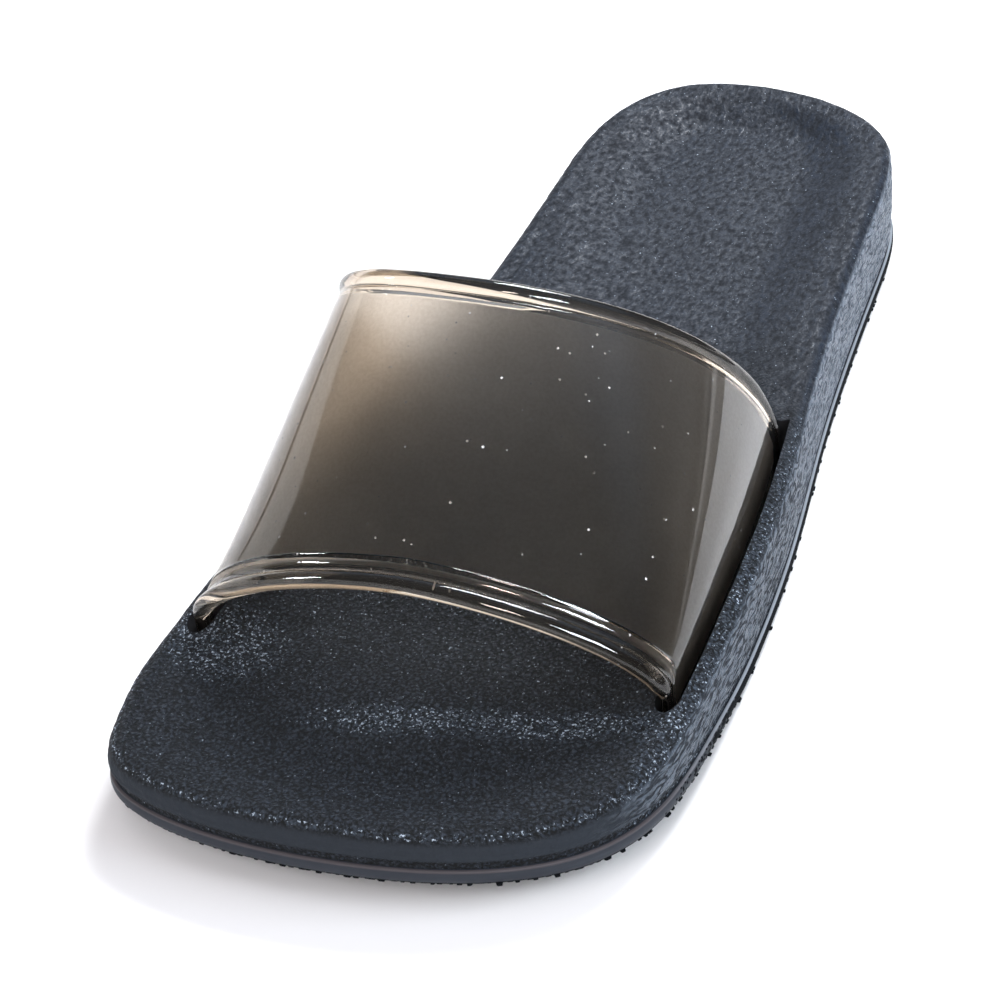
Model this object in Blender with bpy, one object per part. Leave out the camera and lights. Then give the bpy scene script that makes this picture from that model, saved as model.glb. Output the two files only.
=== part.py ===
"""Spa sandal for the left foot: a moulded foam sole with a clear strap held in two slots.

Metres, +Z up. The toe points to -Y, the outer (lateral) side of the foot to +X.
The origin is on the floor, in the middle of the sole's length and width.
"""

import math
from collections import namedtuple

import bmesh
import bpy
import numpy as np

TURN = 2 * math.pi

# Sole: driving sizes
LENGTH = 0.270
BALL_WIDTH = 0.107
HEEL_HEIGHT = 0.0258
TOE_SPRING = 0.0064
DISH_DEPTH = 0.0040
DISH_REACH = 0.018
ARCH_RISE = 0.0035
RIM_RADIUS = 0.0040
RIM_FLAT = 0.0012
RIM_FALL = 0.0004
TOE_RIDGE_HEIGHT = 0.0013
TOE_RIDGE_WIDTH = 0.011

# Outsole and the joint above it
OUTSOLE_EDGE = 0.0035
BAND_BULGE = 0.0008
JOINT_GAP = 0.0003
STRIP_HEIGHT = 0.0015
STRIP_INSET = 0.0010
WALL_INSET = 0.0005
WALL_STEP = 0.0004
WALL_BELLY = 0.0002

# Tread under the outsole
GROOVE_DEPTH = 0.0012
GROOVE_WIDTH = 0.0026
GROOVE_PITCH = 0.0090
GROOVE_WAVE = 0.0050
WAIST_DEPTH = 0.0010
WAIST_MARGIN = 0.0090

# Strap and its slots
STRAP_WALL = 0.0020
BEAD_RADIUS = 0.0018
INSTEP_HEIGHT = 0.0510
STRAP_LEAN = 0.0370
LEAN_POWER = 1.5
APEX_SHIFT = 0.0100
STRAP_INSET_LATERAL = 0.0065
STRAP_INSET_MEDIAL = 0.0067
SLOT_DEPTH = 0.0085
SLOT_OUTER_ROOM = 0.0007
SLOT_FRONT_ROOM = 0.0035
SLOT_BACK_ROOM = 0.0022
SEAT_GAP = 0.0003

# How finely the curved forms are cut into faces
RING_POINTS = 96
DECK_COLUMNS = 8
RIM_STEPS = 5
ARCH_STEPS = 40
BEAD_STEPS = 4
PANEL_STEPS = 4
CUTTER_STEPS = 12
SHARP_ANGLE = math.radians(40)

# How far a cutter runs out past what it cuts, and the step that directions are measured over.
CUT_OVERRUN = 0.006
SMALL_STEP = 0.002

Section = namedtuple("Section", "station lateral medial rise rim dish arch")
# A row for each section from heel to toe. station is a share of LENGTH, lateral and medial of
# BALL_WIDTH, rise of TOE_SPRING, rim of HEEL_HEIGHT, dish of DISH_DEPTH and arch of ARCH_RISE.
SECTIONS = (
    Section(0.00, -0.060, 0.060, 0.42, 1.000, 1.00, 0.00),
    Section(0.02, 0.170, 0.250, 0.36, 0.995, 1.00, 0.00),
    Section(0.06, 0.302, 0.330, 0.20, 0.985, 1.00, 0.00),
    Section(0.12, 0.364, 0.371, 0.00, 0.970, 1.00, 0.00),
    Section(0.20, 0.386, 0.374, 0.00, 0.955, 0.95, 0.10),
    Section(0.32, 0.408, 0.364, 0.00, 0.930, 0.75, 0.65),
    Section(0.45, 0.441, 0.374, 0.00, 0.900, 0.55, 1.00),
    Section(0.58, 0.483, 0.429, 0.00, 0.855, 0.50, 0.50),
    Section(0.70, 0.503, 0.472, 0.00, 0.800, 0.55, 0.00),
    Section(0.80, 0.505, 0.490, 0.33, 0.720, 0.50, 0.00),
    Section(0.88, 0.484, 0.498, 0.62, 0.655, 0.45, 0.00),
    Section(0.94, 0.394, 0.474, 0.83, 0.640, 0.40, 0.00),
    Section(0.98, 0.207, 0.405, 0.96, 0.665, 0.40, 0.00),
    Section(1.00, -0.143, 0.143, 1.00, 0.690, 0.40, 0.00),
)

BandSection = namedtuple("BandSection", "height inset")
# A row for each level of the outsole's rounded edge: height is a share of OUTSOLE_EDGE and inset
# of BAND_BULGE.
BAND_SECTIONS = (
    BandSection(0.00, 1.4),
    BandSection(0.25, 0.3),
    BandSection(0.52, 0.0),
    BandSection(0.80, 0.3),
    BandSection(1.00, 1.0),
)

Span = namedtuple("Span", "front back")
# Stations of the strap's two beads in each slot, and of both ends of what lies under the sole.
LATERAL_SEAT = Span(0.816, 0.525)
MEDIAL_SEAT = Span(0.833, 0.537)
BALL_TREAD = Span(0.945, 0.515)
WAIST = Span(0.500, 0.300)
HEEL_TREAD = Span(0.285, 0.045)
TOE_RIDGE_STATION = 0.885

StrapSection = namedtuple("StrapSection", "along height lean shift roundness")
# A row for each section of the strap from its front bead to its back one. height is a share of
# INSTEP_HEIGHT, lean of STRAP_LEAN and shift of APEX_SHIFT; roundness 2 is an ellipse.
STRAP_SECTIONS = (
    StrapSection(0.0, 0.44, 0.16, -0.10, 1.65),
    StrapSection(0.5, 0.72, 0.54, 0.38, 2.20),
    StrapSection(1.0, 1.00, 1.00, 1.00, 2.50),
)


def closed_spline(angles, values):
    """The smooth closed curve through the values at these angles, as a function of the angle."""
    angles, values = np.asarray(angles, float), np.asarray(values, float)
    count = len(angles)
    gaps = np.diff(np.append(angles, angles[0] + TURN))
    slopes = np.diff(np.append(values, values[0])) / gaps
    system, right = np.zeros((count, count)), np.zeros(count)
    for i in range(count):
        system[i, i - 1] += gaps[i - 1]
        system[i, i] += 2 * (gaps[i - 1] + gaps[i])
        system[i, (i + 1) % count] += gaps[i]
        right[i] = 6 * (slopes[i] - slopes[i - 1])
    bends = np.linalg.solve(system, right)

    def at(angle):
        turned = (angle - angles[0]) % TURN + angles[0]
        i = int(np.searchsorted(angles, turned, side="right")) - 1
        j, gap = (i + 1) % count, gaps[i]
        past = turned - angles[i]
        left = gap - past
        return (
            (left**3 * bends[i] + past**3 * bends[j]) / (6 * gap)
            + (values[i] / gap - bends[i] * gap / 6) * left
            + (values[j] / gap - bends[j] * gap / 6) * past
        )

    return at


def eased(places, values, place):
    """The value at a place, on a curve through the rows that never overshoots them."""
    places, values = np.asarray(places, float), np.asarray(values, float)
    place = min(max(place, places[0]), places[-1])
    secants = np.diff(values) / np.diff(places)
    tangents = np.zeros(len(values))
    for i in range(1, len(values) - 1):
        before, after = secants[i - 1], secants[i]
        if before * after > 0:
            tangents[i] = 2 * before * after / (before + after)
    i = min(int(np.searchsorted(places, place, side="right")) - 1, len(secants) - 1)
    gap = places[i + 1] - places[i]
    t = (place - places[i]) / gap
    return (
        (2 * t**3 - 3 * t**2 + 1) * values[i]
        + (t**3 - 2 * t**2 + t) * gap * tangents[i]
        + (3 * t**2 - 2 * t**3) * values[i + 1]
        + (t**3 - t**2) * gap * tangents[i + 1]
    )


def column(rows, name):
    return [getattr(row, name) for row in rows]


def smooth_step(t):
    t = min(max(t, 0.0), 1.0)
    return t * t * (3 - 2 * t)


def angle_of(station):
    """The angle round the sole, 0 at the heel's end and pi at the toe's, on the lateral side."""
    return math.acos(1 - 2 * station)


def station_of(y):
    return 0.5 - y / LENGTH


def place_of(station):
    return LENGTH * (0.5 - station)


def outline_curve():
    """x round the sole's edge as a function of the angle, centred on the middle of its width."""
    angles = [angle_of(row.station) for row in SECTIONS]
    lateral = [row.lateral * BALL_WIDTH for row in SECTIONS]
    medial = [-row.medial * BALL_WIDTH for row in SECTIONS[-2:0:-1]]
    back_round = [TURN - angle for angle in angles[-2:0:-1]]
    curve = closed_spline(angles + back_round, lateral + medial)
    fine = 4 * RING_POINTS
    reach = [curve(TURN * i / fine) for i in range(fine)]
    middle = (max(reach) + min(reach)) / 2
    return lambda angle: curve(angle) - middle


EDGE_X = outline_curve()


def edge_point(angle, inset):
    """A point round the sole's edge, moved inwards at right angles to it."""
    before, after = angle - SMALL_STEP, angle + SMALL_STEP
    x, y = EDGE_X(angle), LENGTH / 2 * math.cos(angle)
    run_x = EDGE_X(after) - EDGE_X(before)
    run_y = LENGTH / 2 * (math.cos(after) - math.cos(before))
    size = math.hypot(run_x, run_y)
    return x + inset * run_y / size, y - inset * run_x / size


def height_of(name, size, y):
    """A height column of SECTIONS at this place along the sole."""
    return size * eased(column(SECTIONS, "station"), column(SECTIONS, name), station_of(y))


def floor_height(y):
    """The underside: flat from heel to ball, rising into the toe spring."""
    return height_of("rise", TOE_SPRING, y)


def joint_height(y):
    """The outsole's upper face, on which the foam sole sits."""
    return floor_height(y) + OUTSOLE_EDGE


def rim_height(y):
    """The crest round the footbed."""
    return height_of("rim", HEEL_HEIGHT, y)


def footbed_height(x, y, across, half_width):
    """The footbed inside its rim: across is -1 at the deck's medial side and 1 at its lateral."""
    from_side = smooth_step((1 - abs(across)) * half_width / DISH_REACH)
    from_end = smooth_step((LENGTH / 2 - abs(y) - RIM_RADIUS) / DISH_REACH)
    dish = height_of("dish", DISH_DEPTH, y) * from_side * from_end
    arch = height_of("arch", ARCH_RISE, y) * from_side * smooth_step(-across)
    off_ridge = (station_of(y) - TOE_RIDGE_STATION) * LENGTH / TOE_RIDGE_WIDTH
    ridge = TOE_RIDGE_HEIGHT * from_side * math.exp(-(off_ridge**2))
    return rim_height(y) - RIM_FALL - dish + arch + ridge


def ring(inset, height):
    """One closed row of points round the sole, at an inset and at a height that depends on y."""
    points = []
    for i in range(RING_POINTS):
        x, y = edge_point(TURN * i / RING_POINTS, inset)
        points.append((x, y, height(y)))
    return points


def add_ring(mesh, points):
    return [mesh.verts.new(point) for point in points]


def skin(mesh, lower, upper):
    """Faces between two closed rows of points."""
    for i in range(len(lower)):
        j = (i + 1) % len(lower)
        mesh.faces.new((lower[i], lower[j], upper[j], upper[i]))


def tube(mesh, rows):
    """Faces along a row of small rings and over both of its ends."""
    for one, other in zip(rows, rows[1:]):
        skin(mesh, one, other)
    mesh.faces.new(rows[0])
    mesh.faces.new(rows[-1])


def deck(mesh, edge, columns, height):
    """Closes a ring with rows of faces that run across it, from each point to the one opposite."""
    half = len(edge) // 2
    previous = [edge[0]]
    for i in range(1, half):
        lateral, medial = edge[i], edge[-i]
        across_row = [medial]
        for j in range(1, columns):
            share = j / columns
            place = medial.co.lerp(lateral.co, share)
            half_width = (lateral.co - medial.co).length / 2
            place.z = height(place.x, place.y, 2 * share - 1, half_width)
            across_row.append(mesh.verts.new(place))
        across_row.append(lateral)
        join_rows(mesh, previous, across_row)
        previous = across_row
    join_rows(mesh, previous, [edge[half]])


def join_rows(mesh, one, other):
    """Faces between two rows of a deck, either of which may be a single point."""
    for j in range(max(len(one), len(other)) - 1):
        corners = [one[min(j, len(one) - 1)], one[min(j + 1, len(one) - 1)]]
        corners += [other[min(j + 1, len(other) - 1)], other[min(j, len(other) - 1)]]
        mesh.faces.new(list(dict.fromkeys(corners)))


def make_object(name, mesh, collection, material=None):
    bmesh.ops.triangulate(mesh, faces=[face for face in mesh.faces if len(face.verts) > 3])
    bmesh.ops.recalc_face_normals(mesh, faces=mesh.faces)
    data = bpy.data.meshes.new(name)
    mesh.to_mesh(data)
    mesh.free()
    made = bpy.data.objects.new(name, data)
    collection.objects.link(made)
    if material:
        data.materials.append(material)
        data.shade_smooth()
        data.set_sharp_from_angle(angle=SHARP_ANGLE)
    return made


def make_material(name, colour, roughness, transmission=0.0):
    made = bpy.data.materials.new(name)
    made.use_nodes = True
    shader = made.node_tree.nodes["Principled BSDF"]
    shader.inputs["Base Color"].default_value = (*colour, 1)
    shader.inputs["Roughness"].default_value = roughness
    shader.inputs["Metallic"].default_value = 0.0
    shader.inputs["Transmission Weight"].default_value = transmission
    return made


def cut(target, cutter, name):
    modifier = target.modifiers.new(name, "BOOLEAN")
    modifier.operation = "DIFFERENCE"
    modifier.solver = "EXACT"
    modifier.object = cutter


def outsole(collection):
    """The plate under the foam: its edge shows as a smooth rounded band."""
    mesh = bmesh.new()
    rows = []
    for row in BAND_SECTIONS:
        rise = row.height * OUTSOLE_EDGE
        points = ring(row.inset * BAND_BULGE, lambda y, rise=rise: floor_height(y) + rise)
        rows.append(add_ring(mesh, points))
    for lower, upper in zip(rows, rows[1:]):
        skin(mesh, lower, upper)
    deck(mesh, rows[0], 2, lambda x, y, across, half_width: floor_height(y))
    deck(mesh, rows[-1], 2, lambda x, y, across, half_width: joint_height(y))
    material = make_material("outsole foam", (0.035, 0.042, 0.055), 0.55)
    return make_object("outsole", mesh, collection, material)


def foam_sole(collection):
    """Midsole and footbed, moulded in one: side wall, rounded rim, dished footbed."""
    mesh = bmesh.new()
    strip_top = JOINT_GAP + STRIP_HEIGHT
    wall_foot = strip_top + WALL_STEP

    def over_joint(rise):
        return lambda y: joint_height(y) + rise

    def mid_wall(y):
        return (joint_height(y) + wall_foot + rim_height(y) - RIM_RADIUS) / 2

    rows = [
        ring(STRIP_INSET, over_joint(JOINT_GAP)),
        ring(STRIP_INSET, over_joint(strip_top)),
        ring(WALL_INSET, over_joint(wall_foot)),
        ring(WALL_INSET - WALL_BELLY, mid_wall),
    ]
    for step in range(RIM_STEPS + 1):
        turn = math.pi / 2 * step / RIM_STEPS
        inset = WALL_INSET + RIM_RADIUS * (1 - math.cos(turn))
        drop = RIM_RADIUS * (1 - math.sin(turn))
        rows.append(ring(inset, lambda y, drop=drop: rim_height(y) - drop))
    deck_inset = WALL_INSET + RIM_RADIUS + RIM_FLAT
    rows.append(ring(deck_inset, lambda y: rim_height(y) - RIM_FALL))
    rows = [add_ring(mesh, points) for points in rows]
    for lower, upper in zip(rows, rows[1:]):
        skin(mesh, lower, upper)
    deck(mesh, rows[0], 2, lambda x, y, across, half_width: joint_height(y) + JOINT_GAP)
    deck(mesh, rows[-1], DECK_COLUMNS, footbed_height)
    material = make_material("sole foam", (0.04, 0.048, 0.062), 0.6)
    return make_object("midsole_footbed", mesh, collection, material)


def strap_foot(along, side, inset):
    """Where the strap, or a slot's wall, meets the rim: side is 1 lateral and -1 medial."""
    if side > 0:
        start, end = angle_of(LATERAL_SEAT.front), angle_of(LATERAL_SEAT.back)
    else:
        start, end = TURN - angle_of(MEDIAL_SEAT.front), TURN - angle_of(MEDIAL_SEAT.back)
    x, y = edge_point(start + (end - start) * along, inset)
    return np.array((x, y, rim_height(y)))


def strap_middle(along, angle):
    """The strap's middle surface: angle runs from 0 at the lateral foot to pi at the medial."""
    lateral = strap_foot(along, 1, STRAP_INSET_LATERAL)
    medial = strap_foot(along, -1, STRAP_INSET_MEDIAL)
    places = column(STRAP_SECTIONS, "along")
    height, lean, shift, roundness = (
        float(np.polyval(np.polyfit(places, column(STRAP_SECTIONS, name), 2), along))
        for name in ("height", "lean", "shift", "roundness")
    )
    over = math.copysign(abs(math.cos(angle)) ** (2 / roundness), math.cos(angle))
    up = abs(math.sin(angle)) ** (2 / roundness)
    place = (lateral + medial) / 2 + (lateral - medial) / 2 * over
    place[0] -= APEX_SHIFT * shift * up
    place[1] -= STRAP_LEAN * lean * up**LEAN_POWER
    place[2] += INSTEP_HEIGHT * height * up
    return place


def unit(vector):
    return vector / np.linalg.norm(vector)


def strap_frame(along, angle):
    """A point of the middle surface, with its directions to the back and outwards."""
    ahead, behind = max(along - SMALL_STEP, 0), min(along + SMALL_STEP, 1)
    low, high = max(angle - SMALL_STEP, 0), min(angle + SMALL_STEP, math.pi)
    back = unit(strap_middle(behind, angle) - strap_middle(ahead, angle))
    over = strap_middle(along, high) - strap_middle(along, low)
    return strap_middle(along, angle), back, unit(np.cross(back, over))


def strap_profile():
    """The outer half of the strap's section, front to back: place along, way back, way out."""
    join = math.asin(STRAP_WALL / 2 / BEAD_RADIUS)
    bead = [math.pi - (math.pi - join) * step / BEAD_STEPS for step in range(BEAD_STEPS + 1)]
    half = [(0.0, BEAD_RADIUS * math.cos(turn), BEAD_RADIUS * math.sin(turn)) for turn in bead]
    half += [(step / PANEL_STEPS, 0.0, STRAP_WALL / 2) for step in range(1, PANEL_STEPS)]
    return half + [(1.0, -back, out) for _, back, out in reversed(half[: BEAD_STEPS + 1])]


def strap_ring(angle, drop):
    """One closed section of the strap, lowered by drop inside its slot."""
    half = strap_profile()
    loop = half + [(along, back, -out) for along, back, out in half[-2:0:-1]]
    points = []
    for along, to_back, outwards in loop:
        place, back, out = strap_frame(along, angle)
        point = place + to_back * back + outwards * out
        points.append((point[0], point[1], point[2] - drop))
    return points


def strap(collection):
    """The clear strap: one moulded arch with a round bead along its front and back edges."""
    mesh = bmesh.new()
    tab = SLOT_DEPTH - SEAT_GAP
    rows = [add_ring(mesh, strap_ring(0.0, tab))]
    for i in range(ARCH_STEPS + 1):
        rows.append(add_ring(mesh, strap_ring(math.pi * i / ARCH_STEPS, 0.0)))
    rows.append(add_ring(mesh, strap_ring(math.pi, tab)))
    for one, other in zip(rows, rows[1:]):
        skin(mesh, one, other)
    for end in (rows[0], rows[-1]):
        deck(mesh, end, 1, None)
    material = make_material("smoky clear plastic", (0.30, 0.27, 0.24), 0.08, 0.8)
    return make_object("strap", mesh, collection, material)


def slot_cutter(name, side, strap_inset, collection):
    """The pocket that takes one foot of the strap, open at the top."""
    outer = strap_inset - BEAD_RADIUS - SLOT_OUTER_ROOM
    inner = strap_inset + BEAD_RADIUS + SEAT_GAP
    length = LENGTH * (LATERAL_SEAT.front - LATERAL_SEAT.back)
    start = -(BEAD_RADIUS + SLOT_FRONT_ROOM) / length
    end = 1 + (BEAD_RADIUS + SLOT_BACK_ROOM) / length
    mesh = bmesh.new()
    rows = []
    for step in range(CUTTER_STEPS + 1):
        along = start + (end - start) * step / CUTTER_STEPS
        (x1, y1, z1), (x2, y2, z2) = (strap_foot(along, side, inset) for inset in (outer, inner))
        top = [(x1, y1, z1 + CUT_OVERRUN), (x2, y2, z2 + CUT_OVERRUN)]
        floor = [(x2, y2, z2 - SLOT_DEPTH), (x1, y1, z1 - SLOT_DEPTH)]
        rows.append(add_ring(mesh, top + floor))
    tube(mesh, rows)
    return hide(make_object(name, mesh, collection))


def groove_cutter(name, span, collection):
    """Shallow wavy grooves from edge to edge across one end of the tread, on one mesh."""
    mesh = bmesh.new()
    last, first = (place_of(station) for station in span)
    count = int((first - last) / GROOVE_PITCH)
    half_span = BALL_WIDTH / 2 + CUT_OVERRUN
    for groove in range(count + 1):
        middle = first - groove * GROOVE_PITCH
        rows = []
        for step in range(CUTTER_STEPS + 1):
            x = half_span * (2 * step / CUTTER_STEPS - 1)
            y = middle + GROOVE_WAVE * math.cos(math.pi * x / half_span)
            front, back = y - GROOVE_WIDTH / 2, y + GROOVE_WIDTH / 2
            low = [(x, place, floor_height(place) - CUT_OVERRUN) for place in (front, back)]
            high = [(x, place, floor_height(place) + GROOVE_DEPTH) for place in (back, front)]
            rows.append(add_ring(mesh, low + high))
        tube(mesh, rows)
    return hide(make_object(name, mesh, collection))


def waist_cutter(name, collection):
    """The shallow hollow under the arch, between the two treads."""
    mesh = bmesh.new()
    rows = []
    for step in range(CUTTER_STEPS + 1):
        station = WAIST.back + (WAIST.front - WAIST.back) * step / CUTTER_STEPS
        y = place_of(station)
        lateral = edge_point(angle_of(station), WAIST_MARGIN)[0]
        medial = edge_point(TURN - angle_of(station), WAIST_MARGIN)[0]
        low = [(x, y, floor_height(y) - CUT_OVERRUN) for x in (medial, lateral)]
        high = [(x, y, floor_height(y) + WAIST_DEPTH) for x in (lateral, medial)]
        rows.append(add_ring(mesh, low + high))
    tube(mesh, rows)
    return hide(make_object(name, mesh, collection))


def hide(cutter):
    cutter.hide_render = True
    cutter.display_type = "WIRE"
    return cutter


def new_collection(name):
    made = bpy.data.collections.new(name)
    bpy.context.scene.collection.children.link(made)
    return made


def main():
    for old in list(bpy.data.objects):
        bpy.data.objects.remove(old)
    parts = new_collection("spa_sandal")
    cutters = new_collection("cutters")
    plate = outsole(parts)
    cut(plate, groove_cutter("heel_grooves", HEEL_TREAD, cutters), "heel grooves")
    cut(plate, groove_cutter("ball_grooves", BALL_TREAD, cutters), "ball grooves")
    cut(plate, waist_cutter("waist_hollow", cutters), "waist hollow")
    foam = foam_sole(parts)
    cut(foam, slot_cutter("lateral_slot", 1, STRAP_INSET_LATERAL, cutters), "lateral slot")
    cut(foam, slot_cutter("medial_slot", -1, STRAP_INSET_MEDIAL, cutters), "medial slot")
    strap(parts)


main()
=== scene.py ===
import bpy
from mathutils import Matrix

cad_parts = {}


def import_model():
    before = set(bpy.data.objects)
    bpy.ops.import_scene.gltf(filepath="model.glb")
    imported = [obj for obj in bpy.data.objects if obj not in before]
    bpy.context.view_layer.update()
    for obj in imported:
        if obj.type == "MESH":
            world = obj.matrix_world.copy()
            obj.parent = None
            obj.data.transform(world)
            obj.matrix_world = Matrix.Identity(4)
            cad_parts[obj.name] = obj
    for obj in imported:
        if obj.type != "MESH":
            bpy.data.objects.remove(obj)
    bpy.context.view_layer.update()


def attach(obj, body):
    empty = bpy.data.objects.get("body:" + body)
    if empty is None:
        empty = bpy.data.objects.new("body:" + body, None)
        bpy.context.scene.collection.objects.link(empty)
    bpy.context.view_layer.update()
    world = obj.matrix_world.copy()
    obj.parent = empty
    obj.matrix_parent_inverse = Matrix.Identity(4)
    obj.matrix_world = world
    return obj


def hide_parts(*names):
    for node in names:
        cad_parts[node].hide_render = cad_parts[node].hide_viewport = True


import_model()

import math
from collections import namedtuple

import bpy
import numpy as np
from mathutils import Matrix, Vector, noise

# The left spa sandal, in metres: toe to -Y, outer side to +X, +Z up. Its main shapes use the
# solids' own sizes, tables and formulas, cut into finer faces here.

TURN = 2 * math.pi

LENGTH = 0.270
BALL_WIDTH = 0.107
HEEL_HEIGHT = 0.0258
TOE_SPRING = 0.0064
DISH_DEPTH = 0.0040
DISH_REACH = 0.018
ARCH_RISE = 0.0035
RIM_RADIUS = 0.0040
RIM_FLAT = 0.0012
RIM_FALL = 0.0004
TOE_RIDGE_HEIGHT = 0.0013
TOE_RIDGE_WIDTH = 0.011

OUTSOLE_EDGE = 0.0035
BAND_BULGE = 0.0008
JOINT_GAP = 0.0003
STRIP_HEIGHT = 0.0015
STRIP_INSET = 0.0010
WALL_INSET = 0.0005
WALL_STEP = 0.0004
WALL_BELLY = 0.0002

STRAP_WALL = 0.0020
BEAD_RADIUS = 0.0018
INSTEP_HEIGHT = 0.0510
STRAP_LEAN = 0.0370
LEAN_POWER = 1.5
APEX_SHIFT = 0.0100
STRAP_INSET_LATERAL = 0.0065
STRAP_INSET_MEDIAL = 0.0067
SLOT_DEPTH = 0.0085
SLOT_OUTER_ROOM = 0.0007
SLOT_BACK_ROOM = 0.0022
SEAT_GAP = 0.0003

# How far a cutter runs out past what it cuts, and the step that directions are measured over
CUT_OVERRUN = 0.006
SMALL_STEP = 0.002

Section = namedtuple("Section", "station lateral medial rise rim dish arch")
SECTIONS = (
    Section(0.00, -0.060, 0.060, 0.42, 1.000, 1.00, 0.00),
    Section(0.02, 0.170, 0.250, 0.36, 0.995, 1.00, 0.00),
    Section(0.06, 0.302, 0.330, 0.20, 0.985, 1.00, 0.00),
    Section(0.12, 0.364, 0.371, 0.00, 0.970, 1.00, 0.00),
    Section(0.20, 0.386, 0.374, 0.00, 0.955, 0.95, 0.10),
    Section(0.32, 0.408, 0.364, 0.00, 0.930, 0.75, 0.65),
    Section(0.45, 0.441, 0.374, 0.00, 0.900, 0.55, 1.00),
    Section(0.58, 0.483, 0.429, 0.00, 0.855, 0.50, 0.50),
    Section(0.70, 0.503, 0.472, 0.00, 0.800, 0.55, 0.00),
    Section(0.80, 0.505, 0.490, 0.33, 0.720, 0.50, 0.00),
    Section(0.88, 0.484, 0.498, 0.62, 0.655, 0.45, 0.00),
    Section(0.94, 0.394, 0.474, 0.83, 0.640, 0.40, 0.00),
    Section(0.98, 0.207, 0.405, 0.96, 0.665, 0.40, 0.00),
    Section(1.00, -0.143, 0.143, 1.00, 0.690, 0.40, 0.00),
)

Span = namedtuple("Span", "front back")
LATERAL_SEAT = Span(0.816, 0.525)
MEDIAL_SEAT = Span(0.833, 0.537)
TOE_RIDGE_STATION = 0.885

StrapSection = namedtuple("StrapSection", "along height lean shift roundness")
STRAP_SECTIONS = (
    StrapSection(0.0, 0.44, 0.16, -0.10, 1.65),
    StrapSection(0.5, 0.72, 0.54, 0.38, 2.20),
    StrapSection(1.0, 1.00, 1.00, 1.00, 2.50),
)

# Seam between foam and band, and the lip on the band
SEAM = 0.00004
LIP = 0.00012

# Relief of the strap: how far out its groove and panel lie, and its feet, slimmer near the slots
GROOVE_OUT = 0.00072
PANEL_OUT = 0.00112
ROLL_RADIUS = 0.0020
FRONT_GROOVE = 0.0019
BACK_GROOVE = 0.0002
STRAP_RUN = 0.080
FOOT_SLIM = 0.60
FOOT_REACH = math.radians(14)

# Front ends of the slots, shorter and more tapered than in the solids
FRONT_ROOM_SHOWN = 0.0020
FRONT_TAPER = 0.0045
FRONT_TIP = 0.15

# Teeth at the edge of the tread; some on the outer side stand out further
TOOTH_PITCH = 0.0017
TOOTH_HEIGHT = 0.00045
TOOTH_INSET = 0.0012
TOOTH_REACH = 0.0006
TOOTH_SPREAD = 0.0002
TOOTH_FLANK = 0.00022
TOOTH_BACK = 0.0022
BIG_TOOTH_REACH = 0.00042
BIG_TOOTH_SHARE = 0.35
BIG_TOOTH_SIDE = 0.02

# Rows of faces at the band's foot that are black: all round, and behind a ragged line, where they are
# painted shade up the sides and heel
BLACK_ROWS = 2
SIDE_SHADE_ROWS = 7
SHADE_FRONT = -0.085
SHADE_FRONT_SPREAD = 0.02

# Unevenness of the foam: heights and sizes of its lumps, and the height where it begins
WANDER, WANDER_SIZE = 0.00018, 0.011
RIPPLE, RIPPLE_SIZE = 0.00008, 0.0034
GRAIN, WALL_GRAIN, GRAIN_SIZE = 0.00006, 0.00012, 0.0017
SKIN_DROP = 0.00016
UNEVEN_FROM, UNEVEN_BLEND = 0.0020, 0.0012

# Where the foam gets painted glints and sheen: a patch on the inner side, and the toe ridge's slanted
# line
PATCH, PATCH_SIZE = (-0.040, -0.093), (0.016, 0.013)
RIDGE_LINE, RIDGE_SLANT = -0.1030, 0.25

RING_POINTS = 1080
DECK_COLUMNS = 80
ARCH_STEPS = 240
PANEL_STEPS = 60
SKIRT_POINTS = 2880
CUTTER_STEPS = 60


# Shapes


def column(rows, name):
    return np.array([getattr(row, name) for row in rows], float)


def closed_spline(angles, values):
    """The smooth closed curve through the values at these angles, as a function of angles."""
    count = len(angles)
    gaps = np.diff(np.append(angles, angles[0] + TURN))
    slopes = np.diff(np.append(values, values[0])) / gaps
    system, right = np.zeros((count, count)), np.zeros(count)
    for i in range(count):
        system[i, i - 1] += gaps[i - 1]
        system[i, i] += 2 * (gaps[i - 1] + gaps[i])
        system[i, (i + 1) % count] += gaps[i]
        right[i] = 6 * (slopes[i] - slopes[i - 1])
    bends = np.linalg.solve(system, right)

    def at(angle):
        turned = (np.asarray(angle, float) - angles[0]) % TURN + angles[0]
        i = np.clip(np.searchsorted(angles, turned, side="right") - 1, 0, count - 1)
        j, gap = (i + 1) % count, gaps[i]
        past = turned - angles[i]
        left = gap - past
        return (
            (left**3 * bends[i] + past**3 * bends[j]) / (6 * gap)
            + (values[i] / gap - bends[i] * gap / 6) * left
            + (values[j] / gap - bends[j] * gap / 6) * past
        )

    return at


def eased(places, values, place):
    """The values at these places, on a curve through the rows that never overshoots them."""
    place = np.clip(place, places[0], places[-1])
    gaps = np.diff(places)
    secants = np.diff(values) / gaps
    tangents = np.zeros(len(values))
    for i in range(1, len(values) - 1):
        before, after = secants[i - 1], secants[i]
        if before * after > 0:
            tangents[i] = 2 * before * after / (before + after)
    i = np.clip(np.searchsorted(places, place, side="right") - 1, 0, len(gaps) - 1)
    gap = gaps[i]
    t = (place - places[i]) / gap
    return (
        (2 * t**3 - 3 * t**2 + 1) * values[i]
        + (t**3 - 2 * t**2 + t) * gap * tangents[i]
        + (3 * t**2 - 2 * t**3) * values[i + 1]
        + (t**3 - t**2) * gap * tangents[i + 1]
    )


def smooth_step(t):
    t = np.clip(t, 0.0, 1.0)
    return t * t * (3 - 2 * t)


def angle_of(station):
    return math.acos(1 - 2 * station)


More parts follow.
